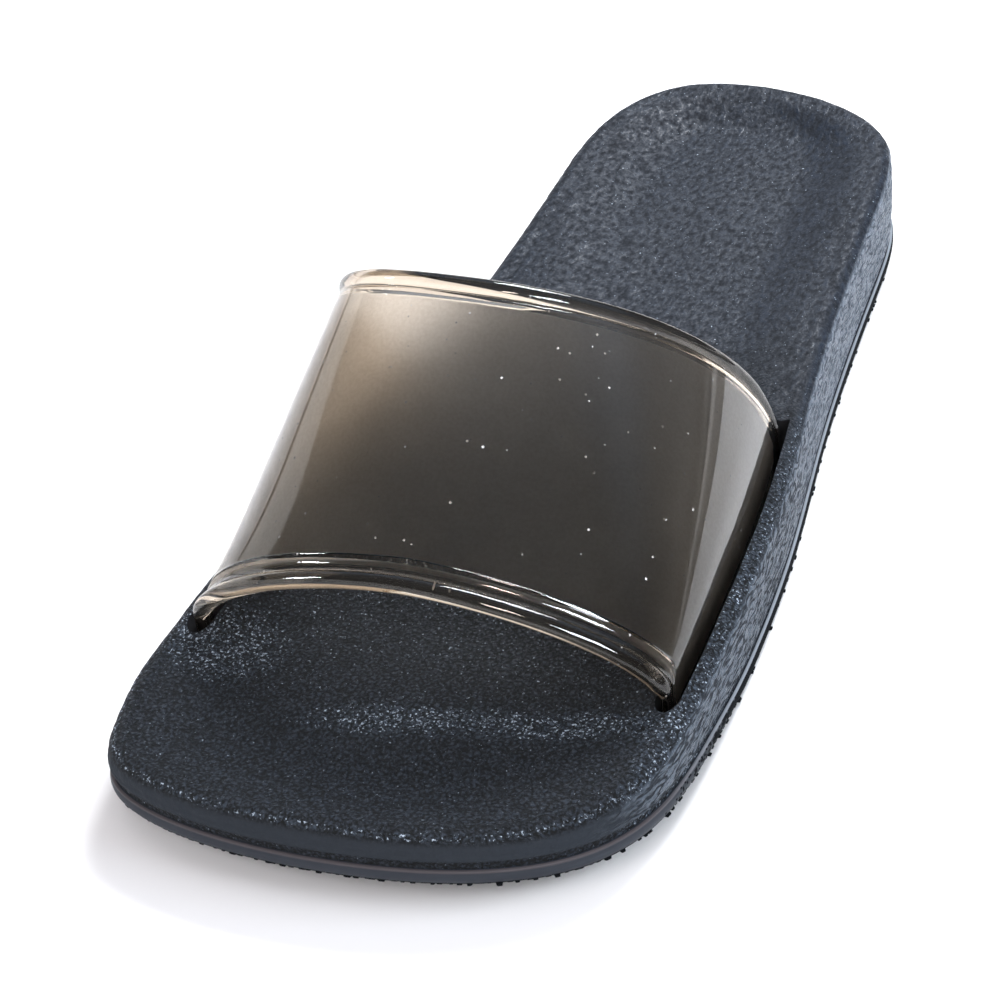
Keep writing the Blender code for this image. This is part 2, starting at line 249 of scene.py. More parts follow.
def outline_curve():
    angles = np.array([angle_of(row.station) for row in SECTIONS])
    back_round = TURN - angles[-2:0:-1]
    lateral = column(SECTIONS, "lateral") * BALL_WIDTH
    medial = -column(SECTIONS, "medial")[-2:0:-1] * BALL_WIDTH
    curve = closed_spline(np.append(angles, back_round), np.append(lateral, medial))
    reach = curve(np.linspace(0, TURN, 2000))
    middle = (reach.max() + reach.min()) / 2
    return lambda angle: curve(angle) - middle


EDGE_X = outline_curve()


def edge_point(angle, inset):
    """Points round the sole's edge, moved inwards at right angles to it."""
    angle = np.asarray(angle, float)
    before, after = angle - SMALL_STEP, angle + SMALL_STEP
    x, y = EDGE_X(angle), LENGTH / 2 * np.cos(angle)
    run_x = EDGE_X(after) - EDGE_X(before)
    run_y = LENGTH / 2 * (np.cos(after) - np.cos(before))
    size = np.hypot(run_x, run_y)
    return x + inset * run_y / size, y - inset * run_x / size


def height_of(name, size, y):
    station = 0.5 - np.asarray(y, float) / LENGTH
    return size * eased(column(SECTIONS, "station"), column(SECTIONS, name), station)


def floor_height(y):
    return height_of("rise", TOE_SPRING, y)


def joint_height(y):
    return floor_height(y) + OUTSOLE_EDGE


def rim_height(y):
    return height_of("rim", HEEL_HEIGHT, y)


def footbed_height(y, across, half_width):
    from_side = smooth_step((1 - abs(across)) * half_width / DISH_REACH)
    from_end = smooth_step((LENGTH / 2 - abs(y) - RIM_RADIUS) / DISH_REACH)
    dish = height_of("dish", DISH_DEPTH, y) * from_side * from_end
    arch = height_of("arch", ARCH_RISE, y) * from_side * smooth_step(-across)
    off_ridge = (0.5 - y / LENGTH - TOE_RIDGE_STATION) * LENGTH / TOE_RIDGE_WIDTH
    ridge = TOE_RIDGE_HEIGHT * from_side * np.exp(-(off_ridge**2))
    return rim_height(y) - RIM_FALL - dish + arch + ridge


def lumps(points, size, seed):
    """Smooth noise from -1 to 1 at each point, with lumps of this size in metres."""
    shift = Vector((seed * 17.3, seed * 5.1, seed * 9.7))
    return np.array([noise.noise(Vector(point) / size + shift) for point in points])


class Skin:
    """Collects points, faces, face materials and the two values that materials read per point.

    side is 1 on the foam's wall and fades over its rim; climb is the height up the band.
    """

    def __init__(self):
        self.points, self.faces, self.slots, self.side, self.climb = [], [], [], [], []

    def row(self, points, side=0.0, climb=0.0):
        start, count = len(self.points), len(points)
        self.points.extend(np.asarray(points).tolist())
        self.side.extend([side] * count)
        self.climb.extend([climb] * count)
        return list(range(start, start + count))

    def ring_faces(self, lower, upper, slot=0):
        count = len(lower)
        for i in range(count):
            j = (i + 1) % count
            self.faces.append((lower[i], lower[j], upper[j], upper[i]))
            self.slots.append(slot)

    def strip_faces(self, one, other, slot=0):
        for j in range(max(len(one), len(other)) - 1):
            corners = [one[min(j, len(one) - 1)], one[min(j + 1, len(one) - 1)]]
            corners += [other[min(j + 1, len(other) - 1)], other[min(j, len(other) - 1)]]
            self.faces.append(tuple(dict.fromkeys(corners)))
            self.slots.append(slot)

    def deck(self, edge, columns, height=None, slot=0):
        """Closes a ring with rows of faces from each point to the one opposite."""
        half = len(edge) // 2
        previous = [edge[0]]
        for i in range(1, half):
            medial, lateral = np.array(self.points[edge[-i]]), np.array(self.points[edge[i]])
            share = np.arange(1, columns) / columns
            inner = medial + (lateral - medial) * share[:, None]
            if height is not None:
                half_width = np.linalg.norm(lateral - medial) / 2
                inner[:, 2] = height(inner[:, 1], 2 * share - 1, half_width)
            row = [edge[-i]] + self.row(inner) + [edge[i]]
            self.strip_faces(previous, row, slot)
            previous = row
        self.strip_faces(previous, [edge[half]], slot)

    def build(self, name, materials):
        data = bpy.data.meshes.new(name)
        data.from_pydata([tuple(point) for point in self.points], [], self.faces)
        data.validate()
        for material in materials:
            data.materials.append(material)
        if len(data.polygons) == len(self.slots):
            data.polygons.foreach_set("material_index", self.slots)
        for title, values in (("side", self.side), ("climb", self.climb)):
            layer = data.attributes.new(title, "FLOAT", "POINT")
            layer.data.foreach_set("value", values)
        made = bpy.data.objects.new(name, data)
        bpy.context.scene.collection.objects.link(made)
        face_out(made)
        data.shade_smooth()
        return made


def face_out(made):
    """Turns all faces outwards, going by the sign of the closed mesh's volume."""
    data = made.data
    points = np.empty(len(data.vertices) * 3)
    data.vertices.foreach_get("co", points)
    points = points.reshape(-1, 3)
    data.calc_loop_triangles()
    corners = np.empty(len(data.loop_triangles) * 3, int)
    data.loop_triangles.foreach_get("vertices", corners)
    a, b, c = (points[corners.reshape(-1, 3)[:, k]] for k in range(3))
    if np.einsum("ij,ij->i", a, np.cross(b, c)).sum() < 0:
        data.flip_normals()


ANGLES = TURN * np.arange(RING_POINTS) / RING_POINTS


def ring(inset, height):
    """One closed row of points round the sole, at an inset and at a height that depends on y."""
    x, y = edge_point(ANGLES, inset)
    return np.column_stack((x, y, height(y)))


def foam_mesh(materials):
    """Midsole and footbed in one: side wall, rounded rim, dished and slightly uneven footbed."""
    skin = Skin()
    strip_top = JOINT_GAP + STRIP_HEIGHT
    wall_foot = strip_top + WALL_STEP

    def wall(share):
        def height(y):
            low, high = joint_height(y) + wall_foot, rim_height(y) - RIM_RADIUS
            return low + share * (high - low)

        return height

    rows = [
        (STRIP_INSET, lambda y: joint_height(y) + SEAM, 0.0),
        (STRIP_INSET, lambda y: joint_height(y) + JOINT_GAP + STRIP_HEIGHT / 2, 0.0),
        (STRIP_INSET - 0.0001, lambda y: joint_height(y) + strip_top, 0.15),
        (WALL_INSET + 0.0001, lambda y: joint_height(y) + strip_top + WALL_STEP * 0.6, 0.6),
    ]
    wall_steps = 14
    for step in range(wall_steps + 1):
        share = step / wall_steps
        belly = 4 * share * (1 - share) * WALL_BELLY
        rows.append((WALL_INSET - belly, wall(share), 1.0))
    arc_steps = 10
    for step in range(1, arc_steps + 1):
        turn = math.pi / 2 * step / arc_steps
        inset = WALL_INSET + RIM_RADIUS * (1 - math.cos(turn))
        drop = RIM_RADIUS * (1 - math.sin(turn))
        side = float(smooth_step(1.25 - 1.5 * step / arc_steps))
        rows.append((inset, lambda y, drop=drop: rim_height(y) - drop, side))
    deck_inset = WALL_INSET + RIM_RADIUS + RIM_FLAT
    rows.append((deck_inset, lambda y: rim_height(y) - RIM_FALL, 0.0))
    made = [skin.row(ring(inset, height), side) for inset, height, side in rows]
    for lower, upper in zip(made, made[1:]):
        skin.ring_faces(lower, upper)
    skin.deck(made[0], 2)
    skin.deck(made[-1], DECK_COLUMNS, footbed_height)
    piece = skin.build("foam_sole", materials)
    unevenness(piece)
    return piece


def unevenness(piece):
    """Moves the points of the foam's visible skin a little, as moulded foam never lies quite flat."""
    data = piece.data
    points = np.empty(len(data.vertices) * 3)
    data.vertices.foreach_get("co", points)
    points = points.reshape(-1, 3)
    normals = np.empty(len(data.vertices) * 3)
    data.vertices.foreach_get("normal", normals)
    normals = normals.reshape(-1, 3)
    above = points[:, 2] - joint_height(points[:, 1])
    shown = smooth_step((above - UNEVEN_FROM) / UNEVEN_BLEND)
    upright = 1 - smooth_step(normals[:, 2] / 0.8)
    wander = WANDER * lumps(points, WANDER_SIZE, 1) + RIPPLE * lumps(points, RIPPLE_SIZE, 2)
    grain = (GRAIN + WALL_GRAIN * upright) * lumps(points, GRAIN_SIZE, 3)
    points += normals * (shown * (wander + grain - SKIN_DROP))[:, None]
    data.vertices.foreach_set("co", points.ravel())
    data.update()


def band_mesh(materials):
    """The outsole: a rounded band with a painted highlight on its lip, black at its foot and as painted
    shade up its sides, and a plain underside.
    """
    skin = Skin()
    # Inset as a share of BAND_BULGE, and height as a share of OUTSOLE_EDGE
    levels = (
        (1.4, 0.00),
        (0.6, 0.12),
        (0.3, 0.25),
        (0.08, 0.38),
        (0.0, 0.52),
        (0.04, 0.66),
        (0.2, 0.80),
        (0.45, 0.90),
        (0.45 - LIP / BAND_BULGE, 0.94),
        (0.50 - LIP / BAND_BULGE, 0.98),
        (0.9, 1.00),
        (1.6, 1.00),
    )
    made = []
    for inset, share in levels:
        points = ring(inset * BAND_BULGE, lambda y, s=share: floor_height(y) + s * OUTSOLE_EDGE)
        climb = 0.0 if inset > 1.0 else share * OUTSOLE_EDGE
        made.append(skin.row(points, climb=climb))
    rng = np.random.RandomState(11)
    for row, (lower, upper) in enumerate(zip(made, made[1:])):
        skin.ring_faces(lower, upper, int(row < BLACK_ROWS))
        # Behind a ragged line these higher rows are black as painted shade on the sides and heel
        if BLACK_ROWS <= row < SIDE_SHADE_ROWS:
            ragged = SHADE_FRONT + SHADE_FRONT_SPREAD * rng.uniform(-1, 1, len(lower))
            for i, limit in enumerate(ragged):
                skin.slots[i - len(lower)] = int(skin.points[lower[i]][1] > limit)
    skin.deck(made[0], 2, slot=1)
    skin.deck(made[-1], 2)
    return skin.build("outsole_band", materials)


def skirt_mesh(materials):
    """The ends of the tread: a ring of small blunt teeth under the band, no two quite alike."""
    angles = TURN * np.arange(SKIRT_POINTS) / SKIRT_POINTS
    x, y = edge_point(angles, 0.0)
    steps = np.hypot(np.diff(np.append(x, x[0])), np.diff(np.append(y, y[0])))
    run = np.append(0, np.cumsum(steps)[:-1])
    count = int(steps.sum() / TOOTH_PITCH)
    rng = np.random.RandomState(7)
    place = (np.arange(count) + rng.uniform(-0.25, 0.25, count)) * steps.sum() / count
    half = TOOTH_PITCH * rng.uniform(0.26, 0.44, count)
    outer_side = np.interp(place, run, x) > BIG_TOOTH_SIDE
    big = rng.uniform(size=count) < np.where(outer_side, BIG_TOOTH_SHARE, 0.0)
    out = rng.uniform(-TOOTH_SPREAD, TOOTH_SPREAD, count) + BIG_TOOTH_REACH * big
    nearest = np.abs(run[:, None] - place[None, :]).argmin(axis=1)
    away = np.abs(run - place[nearest])
    tooth = smooth_step((half[nearest] - away) / TOOTH_FLANK + 0.5)
    face = TOOTH_INSET - tooth * (TOOTH_REACH + out[nearest])
    back = np.full_like(face, TOOTH_BACK)
    high = TOOTH_HEIGHT * (0.75 + 0.25 * tooth)
    floor_z = floor_height(y)
    # Height as a share of the tooth's, and the inset there
    levels = (
        (0.02, back),
        (0.02, face),
        (0.55, face - 0.00006),
        (0.90, face + 0.00008),
        (1.10, back),
    )
    skin = Skin()
    made = []
    for share, inset in levels:
        px, py = edge_point(angles, inset)
        made.append(skin.row(np.column_stack((px, py, floor_z + share * high))))
    for lower, upper in zip(made, made[1:] + made[:1]):
        skin.ring_faces(lower, upper)
    return skin.build("tread_teeth", materials)


def strap_feet(along, side, inset):
    if side > 0:
        start, end = angle_of(LATERAL_SEAT.front), angle_of(LATERAL_SEAT.back)
    else:
        start, end = TURN - angle_of(MEDIAL_SEAT.front), TURN - angle_of(MEDIAL_SEAT.back)
    x, y = edge_point(start + (end - start) * np.asarray(along, float), inset)
    return np.stack(np.broadcast_arrays(x, y, rim_height(y)), axis=-1)


def strap_middle(along, angle):
    """Points of the strap's middle surface: angle 0 is the lateral foot and pi the medial."""
    along, angle = np.broadcast_arrays(np.asarray(along, float), np.asarray(angle, float))
    lateral = strap_feet(along, 1, STRAP_INSET_LATERAL)
    medial = strap_feet(along, -1, STRAP_INSET_MEDIAL)
    places = column(STRAP_SECTIONS, "along")
    height, lean, shift, roundness = (
        np.polyval(np.polyfit(places, column(STRAP_SECTIONS, name), 2), along)
        for name in ("height", "lean", "shift", "roundness")
    )
    over = np.sign(np.cos(angle)) * np.abs(np.cos(angle)) ** (2 / roundness)
    up = np.abs(np.sin(angle)) ** (2 / roundness)
    place = (lateral + medial) / 2 + (lateral - medial) / 2 * over[..., None]
    place[..., 0] -= APEX_SHIFT * shift * up
    place[..., 1] -= STRAP_LEAN * lean * up**LEAN_POWER
    place[..., 2] += INSTEP_HEIGHT * height * up
    return place


def unit(vectors):
    return vectors / np.linalg.norm(vectors, axis=-1, keepdims=True)


def strap_frames(along, angle):
    """Points of the middle surface, with their directions to the back and outwards."""
    ahead, behind = np.maximum(along - SMALL_STEP, 0), np.minimum(along + SMALL_STEP, 1)
    low, high = np.maximum(angle - SMALL_STEP, 0), np.minimum(angle + SMALL_STEP, math.pi)
    back = unit(strap_middle(behind, angle) - strap_middle(ahead, angle))
    over = strap_middle(along, high) - strap_middle(along, low)
    return strap_middle(along, angle), back, unit(np.cross(back, over))


def strap_section():
    """The strap's section as rows of (place along, way back, way out, frosted or not).

    From its edge a round bead runs into a narrow groove, and a rolled shoulder rises from that
    to the panel. The far edge is mirrored, with a narrower groove.
    """
    bead_steps, roll_steps = 20, 10
    groove_back = math.sqrt(BEAD_RADIUS**2 - GROOVE_OUT**2)
    turn_end = math.atan2(GROOVE_OUT, groove_back)
    roll_turn = math.acos(1 - (PANEL_OUT - GROOVE_OUT) / ROLL_RADIUS)

    def edge(floor):
        points = []
        for step in range(bead_steps + 1):
            turn = math.pi - (math.pi - turn_end) * step / bead_steps
            points.append((BEAD_RADIUS * math.cos(turn), BEAD_RADIUS * math.sin(turn)))
        top = groove_back + floor + ROLL_RADIUS * math.sin(roll_turn)
        for step in range(roll_steps + 1):
            turn = roll_turn * (1 - step / roll_steps)
            out = PANEL_OUT - ROLL_RADIUS * (1 - math.cos(turn))
            points.append((top - ROLL_RADIUS * math.sin(turn), out))
        return points

    front, back = edge(FRONT_GROOVE), edge(BACK_GROOVE)
    margins = [(points[-1][0] + 0.0005) / STRAP_RUN for points in (front, back)]
    shares = [step / PANEL_STEPS for step in range(PANEL_STEPS + 1)]
    outer = [(0.0, back_way, out, 0) for back_way, out in front]
    outer += [(share, 0.0, PANEL_OUT, 0) for share in shares
              if margins[0] < share < 1 - margins[1]]
    outer += [(1.0, -back_way, out, 0) for back_way, out in reversed(back)]
    inner = []
    join = math.asin(STRAP_WALL / 2 / BEAD_RADIUS)
    for step in range(1, 9):
        turn = math.pi - (math.pi - join) * step / 8
        inner.append((0.0, BEAD_RADIUS * math.cos(turn), -BEAD_RADIUS * math.sin(turn), 0))
    margin = (BEAD_RADIUS + 0.002) / STRAP_RUN
    frosted = [(share, 0.0, -STRAP_WALL / 2, 1) for share in shares if margin < share < 1 - margin]
    inner += frosted + [(1.0, -back, out, 0) for _, back, out, _ in reversed(inner)]
    return outer + inner[::-1]


def strap_mesh(materials):
    """One clear moulded arch: a bead and a shallow groove along each edge, frosted inside."""
    skin = Skin()
    section = strap_section()
    along = np.array([row[0] for row in section])
    to_back = np.array([row[1] for row in section])[:, None]
    outwards = np.array([row[2] for row in section])[:, None]
    frosted = np.array([row[3] for row in section])
    tab = SLOT_DEPTH - SEAT_GAP
    stops = [(0.0, tab), (0.0, tab / 2)]
    stops += [(math.pi * i / ARCH_STEPS, 0.0) for i in range(ARCH_STEPS + 1)]
    stops += [(math.pi, tab / 2), (math.pi, tab)]
    rows = []
    for angle, drop in stops:
        place, back, out = strap_frames(along, np.full(len(along), angle))
        from_foot = min(angle, math.pi - angle) / FOOT_REACH
        slim = FOOT_SLIM + (1 - FOOT_SLIM) * float(smooth_step(from_foot))
        points = place + (to_back * back + outwards * out) * slim
        points[:, 2] -= drop
        rows.append(skin.row(points))
    count = len(section)
    for one, other in zip(rows, rows[1:]):
        for i in range(count):
            j = (i + 1) % count
            skin.faces.append((one[i], one[j], other[j], other[i]))
            skin.slots.append(int(frosted[i] and frosted[j]))
    for end in (rows[0], rows[-1]):
        skin.faces.append(tuple(end))
        skin.slots.append(0)
    return skin.build("clear_strap", materials)


def slot_cutter(name, side, strap_inset):
    """The pocket that takes one foot of the strap, open at the top and tapered at its front."""
    outer = strap_inset - BEAD_RADIUS - SLOT_OUTER_ROOM
    inner = strap_inset + BEAD_RADIUS + SEAT_GAP
    length = LENGTH * (LATERAL_SEAT.front - LATERAL_SEAT.back)
    start = -(BEAD_RADIUS + FRONT_ROOM_SHOWN)
    end = length + BEAD_RADIUS + SLOT_BACK_ROOM
    radius = (inner - outer) / 2
    middle = (inner + outer) / 2
    skin = Skin()
    rows = []
    for step in range(CUTTER_STEPS + 1):
        # The power brings the steps closer together towards the front
        place = start + (end - start) * (step / CUTTER_STEPS) ** 1.6
        reach = radius
        if place - start < FRONT_TAPER:
            away = 1 - (place - start) / FRONT_TAPER
            reach = radius * max(math.sqrt(1 - away**2), FRONT_TIP)
        corners = []
        for inset, rise in (
            (middle - reach, CUT_OVERRUN),
            (middle + reach, CUT_OVERRUN),
            (middle + reach, -SLOT_DEPTH),
            (middle - reach, -SLOT_DEPTH),
        ):
            x, y, z = strap_feet(place / length, side, inset)
            corners.append((x, y, z + rise))
        rows.append(skin.row(corners))
    for one, other in zip(rows, rows[1:]):
        skin.ring_faces(one, other, 1)
    for last in (rows[0], rows[-1]):
        skin.faces.append(tuple(last))
        skin.slots.append(1)
    return skin.build(name, [bpy.data.materials["foam"], bpy.data.materials["slot walls"]])


def cut(target, cutter):
    modifier = target.modifiers.new("cut", "BOOLEAN")
    modifier.operation = "DIFFERENCE"
    modifier.solver = "EXACT"
    modifier.object = cutter
    graph = bpy.context.evaluated_depsgraph_get()
    data = bpy.data.meshes.new_from_object(target.evaluated_get(graph))
    target.modifiers.clear()
    old, target.data = target.data, data
    bpy.data.meshes.remove(old)
    bpy.data.objects.remove(cutter)


# Materials


class Nodes:
    """A short way to write a material's nodes."""

    def __init__(self, name):
        self.material = bpy.data.materials.new(name)
        self.material.use_nodes = True
        self.tree = self.material.node_tree
        self.shader = self.tree.nodes["Principled BSDF"]

    def add(self, kind, **settings):
        node = self.tree.nodes.new("ShaderNode" + kind)
        inputs = settings.pop("inputs", {})
        for key, value in settings.items():
            setattr(node, key, value)
        for key, value in inputs.items():
            self.put(node.inputs[key], value)
        return node

    def put(self, socket, value):
        if isinstance(value, bpy.types.NodeSocket):
            self.tree.links.new(value, socket)
        else:
            socket.default_value = value

    def math(self, operation, one, other=0.0):
        node = self.add("Math", operation=operation)
        self.put(node.inputs[0], one)
        self.put(node.inputs[1], other)
        return node.outputs[0]

    def range(self, value, low, high, to_low=0.0, to_high=1.0, smooth=True):
        node = self.add("MapRange", interpolation_type="SMOOTHSTEP" if smooth else "LINEAR")
        for key, item in zip(("Value", "From Min", "From Max", "To Min", "To Max"),
                             (value, low, high, to_low, to_high)):
            self.put(node.inputs[key], item)
        return node.outputs["Result"]

    def mix(self, factor, one, other):
        node = self.add("Mix", data_type="RGBA")
        self.put(node.inputs["Factor"], factor)
        self.put(node.inputs["A"], one)
        self.put(node.inputs["B"], other)
        return node.outputs["Result"]

    def blend(self, factor, one, other):
        node = self.add("Mix", data_type="FLOAT")
        self.put(node.inputs["Factor"], factor)
        self.put(node.inputs["A"], one)
        self.put(node.inputs["B"], other)
        return node.outputs["Result"]

    def noise(self, vector, scale, detail=3.0, roughness=0.55):
        inputs = {"Vector": vector, "Scale": scale, "Detail": detail, "Roughness": roughness}
        return self.add("TexNoise", inputs=inputs).outputs["Fac"]

    def cells(self, vector, scale, feature="F1"):
        inputs = {"Vector": vector, "Scale": scale}
        return self.add("TexVoronoi", feature=feature, inputs=inputs).outputs

    def stretch(self, vector, scale):
        return self.add("Mapping", inputs={"Vector": vector, "Scale": scale}).outputs["Vector"]

    def bump(self, height, distance, strength=1.0, normal=None):
        node = self.add("Bump")
        self.put(node.inputs["Height"], height)
        self.put(node.inputs["Distance"], distance)
        self.put(node.inputs["Strength"], strength)
        if normal is not None:
            self.put(node.inputs["Normal"], normal)
        return node.outputs["Normal"]

    def warped(self, vector, scale, reach):
        """The vector moved about by noise, by up to half the reach either way."""
        drift = self.add("TexNoise", inputs={"Vector": vector, "Scale": scale, "Detail": 1.0})
        node = self.add("VectorMath", operation="MULTIPLY_ADD")
        self.put(node.inputs[0], drift.outputs["Color"])
        node.inputs[1].default_value = (reach, reach, reach)
        self.put(node.inputs[2], vector)
        return node.outputs["Vector"]

    def attribute(self, name, output):
        return self.add("Attribute", attribute_name=name).outputs[output]

    def set(self, **values):
        for key, value in values.items():
            self.put(self.shader.inputs[key.replace("_", " ")], value)


def foam_material():
    """Near-black slate foam: soft grain at the heel, crisp with painted glints at the toe, wrinkled
    sides with painted light.
    """
    n = Nodes("foam")
    place = n.add("TexCoord").outputs["Object"]
    side = n.attribute("side", "Fac")
    x, y, _ = n.add("SeparateXYZ", inputs={"Vector": place}).outputs
    slow = n.noise(place, 42.0, 3.0, 0.6)
    toe = n.math("ADD", y, n.math("MULTIPLY", n.math("SUBTRACT", slow, 0.5), 0.05))
    toe = n.range(toe, 0.035, -0.035)
    front = n.range(y, -0.098, -0.121)
    flank = n.range(side, 0.60, 1.00)
    bent = n.warped(place, 520.0, 0.0009)
    crack = n.cells(bent, 950.0, "DISTANCE_TO_EDGE")["Distance"]
    crisp = n.math("MULTIPLY", n.range(crack, 0.0, 0.40), 0.20)
    crisp = n.math("ADD", crisp, n.math("MULTIPLY", n.noise(bent, 1500.0, 3.5, 0.66), 1.15))
    soft = n.math("ADD", n.noise(n.stretch(place, (780.0, 480.0, 780.0)), 1.0, 2.5, 0.6), 0.22)
    top = n.blend(toe, soft, crisp)
    # Wrinkles that run along the wall and fade out round the toe
    swayed = n.warped(place, 230.0, 0.0016)
    strand = n.noise(n.stretch(swayed, (190.0, 190.0, 900.0)), 1.0, 1.0, 0.5)
    strand = n.range(n.math("ABSOLUTE", n.math("SUBTRACT", strand, 0.5)), 0.012, 0.105)
    ripple = n.noise(n.stretch(swayed, (560.0, 560.0, 1900.0)), 1.0, 2.5, 0.65)
    wall = n.math("ADD", n.math("MULTIPLY", strand, 0.30), n.math("MULTIPLY", ripple, 1.05))
    smooth = n.math("ADD", n.math("MULTIPLY", n.noise(place, 900.0, 3.0, 0.6), 0.25), 0.40)
    wall = n.blend(front, wall, smooth)
    height = n.blend(flank, top, wall)
    # Pits and creases are painted dark as shade and matt, raised grain paler as a painted highlight and
    # shinier
    raised_wall = n.range(wall, n.blend(toe, 0.42, 0.50), n.blend(toe, 0.86, 0.90))
    raised = n.blend(flank, n.range(top, 0.46, 1.00), raised_wall)
    deep = n.mix(slow, (0.0022, 0.0034, 0.0064, 1), (0.0038, 0.0058, 0.0104, 1))
    pale = n.mix(slow, (0.0070, 0.0112, 0.0215, 1), (0.0108, 0.0168, 0.0300, 1))
    # The toe's pits are painted blacker than the heel's, as shade
    deep = n.mix(toe, deep, (0.0009, 0.0014, 0.0024, 1))
    # Pale grain at the toe, painted darker behind its front as the strap's shadow
    toe_pale_strap_shadow = n.mix(n.range(y, -0.098, -0.076), (0.0150, 0.0215, 0.0340, 1), (0.0052, 0.0064, 0.0092, 1))
    pale = n.mix(toe, pale, toe_pale_strap_shadow)
    # A painted sheen along the outer edge beside the slot
    border_sheen = n.math("MULTIPLY", n.range(x, 0.044, 0.049), toe)
    pale = n.mix(border_sheen, pale, (0.040, 0.055, 0.080, 1))
    # Painted light on the wall: pale as if light fell from the side, paler towards the heel, and dark as
    # shade round the toe's front
    flank_deep = n.mix(toe, (0.052, 0.066, 0.088, 1), (0.0150, 0.0200, 0.0280, 1))
    deep = n.mix(flank, deep, flank_deep)
    flank_pale = n.mix(toe, (0.138, 0.170, 0.215, 1), (0.098, 0.124, 0.160, 1))
    pale = n.mix(flank, pale, n.mix(front, flank_pale, (0.022, 0.028, 0.041, 1)))
    # Painted sheen and bluish painted glints on the inner side behind the toe ridge, on the ridge and on
    # the rim
    patch = [
        n.math("POWER", n.math("DIVIDE", n.math("SUBTRACT", value, middle), size), 2.0)
        for value, middle, size in zip((x, y), PATCH, PATCH_SIZE)
    ]
    glint_and_sheen_amount = n.range(n.math("ADD", patch[0], patch[1]), 1.4, 0.0, 0.0, 0.80)
    ridge = n.math("SUBTRACT", n.math("SUBTRACT", y, RIDGE_LINE), n.math("MULTIPLY", x, RIDGE_SLANT))
    ridge = n.range(n.math("ABSOLUTE", ridge), 0.0070, 0.0010, 0.0, 0.75)
    ridge = n.math("MULTIPLY", ridge, n.range(x, -0.026, -0.004))
    rim = n.math("MULTIPLY", n.range(side, 0.01, 0.25), n.range(side, 0.80, 0.45, 0.0, 0.66))
    under_strap_glints = n.range(y, -0.098, -0.080, 0.16, 0.33)
    for other in (ridge, rim, under_strap_glints, n.math("MULTIPLY", border_sheen, 0.55)):
        glint_and_sheen_amount = n.math("MAXIMUM", glint_and_sheen_amount, other)
    glint_and_sheen_amount = n.math("MULTIPLY", glint_and_sheen_amount, n.range(toe, 0.0, 1.0, 0.25, 1.0))
    # A paler painted sheen where the glints go, off the wall
    pale = n.mix(n.math("MULTIPLY", glint_and_sheen_amount, n.math("SUBTRACT", 1.0, flank)), pale, (0.040, 0.058, 0.086, 1))
    colour = n.mix(raised, deep, pale)
    # Painted glints: small bluish-white specks on raised grain, not on the wall, densest where sheen is
    # painted
    painted_glint = n.noise(n.warped(place, 800.0, 0.0008), 1900.0, 2.0, 0.6)
    least = n.range(glint_and_sheen_amount, 0.0, 1.0, 0.71, 0.50, False)
    painted_glint = n.range(n.math("SUBTRACT", painted_glint, least), 0.0, 0.09)
    painted_glint = n.math("MULTIPLY", painted_glint, n.range(raised, 0.05, 0.45))
    painted_glint = n.math("MULTIPLY", painted_glint, n.range(side, 1.0, 0.70))
    colour = n.mix(painted_glint, colour, (0.440, 0.520, 0.620, 1))
    gleam = n.range(n.noise(place, 1500.0, 1.0, 0.5), 0.35, 0.70, 0.52, 0.24)
    n.set(Base_Color=colour, Roughness=n.blend(raised, 0.85, gleam), Specular_IOR_Level=0.22,
          Normal=n.bump(height, n.blend(flank, n.blend(toe, 0.00030, 0.00065), 0.00130), 1.0))
    return n.material


def slot_material():
    n = Nodes("slot walls")
    place = n.add("TexCoord").outputs["Object"]
    colour = n.mix(n.noise(place, 500.0), (0.004, 0.004, 0.005, 1), (0.009, 0.010, 0.012, 1))
    n.set(Base_Color=colour, Roughness=0.8, Specular_IOR_Level=0.1,
          Normal=n.bump(n.noise(place, 1500.0), 0.0001, 0.6))
    return n.material


def band_material():
    """Smooth dense foam, painted paler towards the toe where light falls, with a painted highlight on
    its lip and faint scuffs along it.
    """
    n = Nodes("band foam")
    climb = n.attribute("climb", "Fac")
    place = n.add("TexCoord").outputs["Object"]
    scuff = n.noise(n.stretch(place, (90.0, 90.0, 1200.0)), 1.0, 4.0, 0.6)
    slow = n.noise(place, 60.0, 3.0, 0.55)
    _, y, _ = n.add("SeparateXYZ", inputs={"Vector": place}).outputs
    # Painted paler towards the toe, where light falls on the band
    front = n.range(y, -0.060, -0.110)
    colour = n.mix(slow, (0.007, 0.010, 0.015, 1), (0.011, 0.015, 0.021, 1))
    colour = n.mix(front, colour, n.mix(slow, (0.024, 0.028, 0.037, 1), (0.034, 0.039, 0.050, 1)))
    colour = n.mix(n.range(scuff, 0.55, 0.75, 0.0, 0.5), colour, (0.040, 0.048, 0.060, 1))
    # A painted highlight along the lip at its top, pinkish at the toe
    top = n.range(climb, 0.0029, 0.0032, 0.0, 0.8)
    colour = n.mix(top, colour, n.mix(front, (0.300, 0.335, 0.380, 1), (0.090, 0.078, 0.084, 1)))
    height = n.math("ADD", n.math("MULTIPLY", n.noise(place, 1400.0, 2.0), 0.5), scuff)
    n.set(Base_Color=colour, Roughness=n.range(slow, 0.3, 0.7, 0.6, 0.45), Specular_IOR_Level=0.15,
          Normal=n.bump(height, 0.00006, 0.7))
    return n.material


def tread_and_shade_material():
    # Black rubber for the tread, also used as painted shade up the band's sides and heel
    n = Nodes("tread rubber and painted shade")
    place = n.add("TexCoord").outputs["Object"]
    grain = n.noise(place, 1700.0, 3.0)
    n.set(Base_Color=n.mix(grain, (0.003, 0.0035, 0.0045, 1), (0.007, 0.008, 0.010, 1)),
          Roughness=0.85, Specular_IOR_Level=0.05, Normal=n.bump(grain, 0.0001, 0.8))
    return n.material


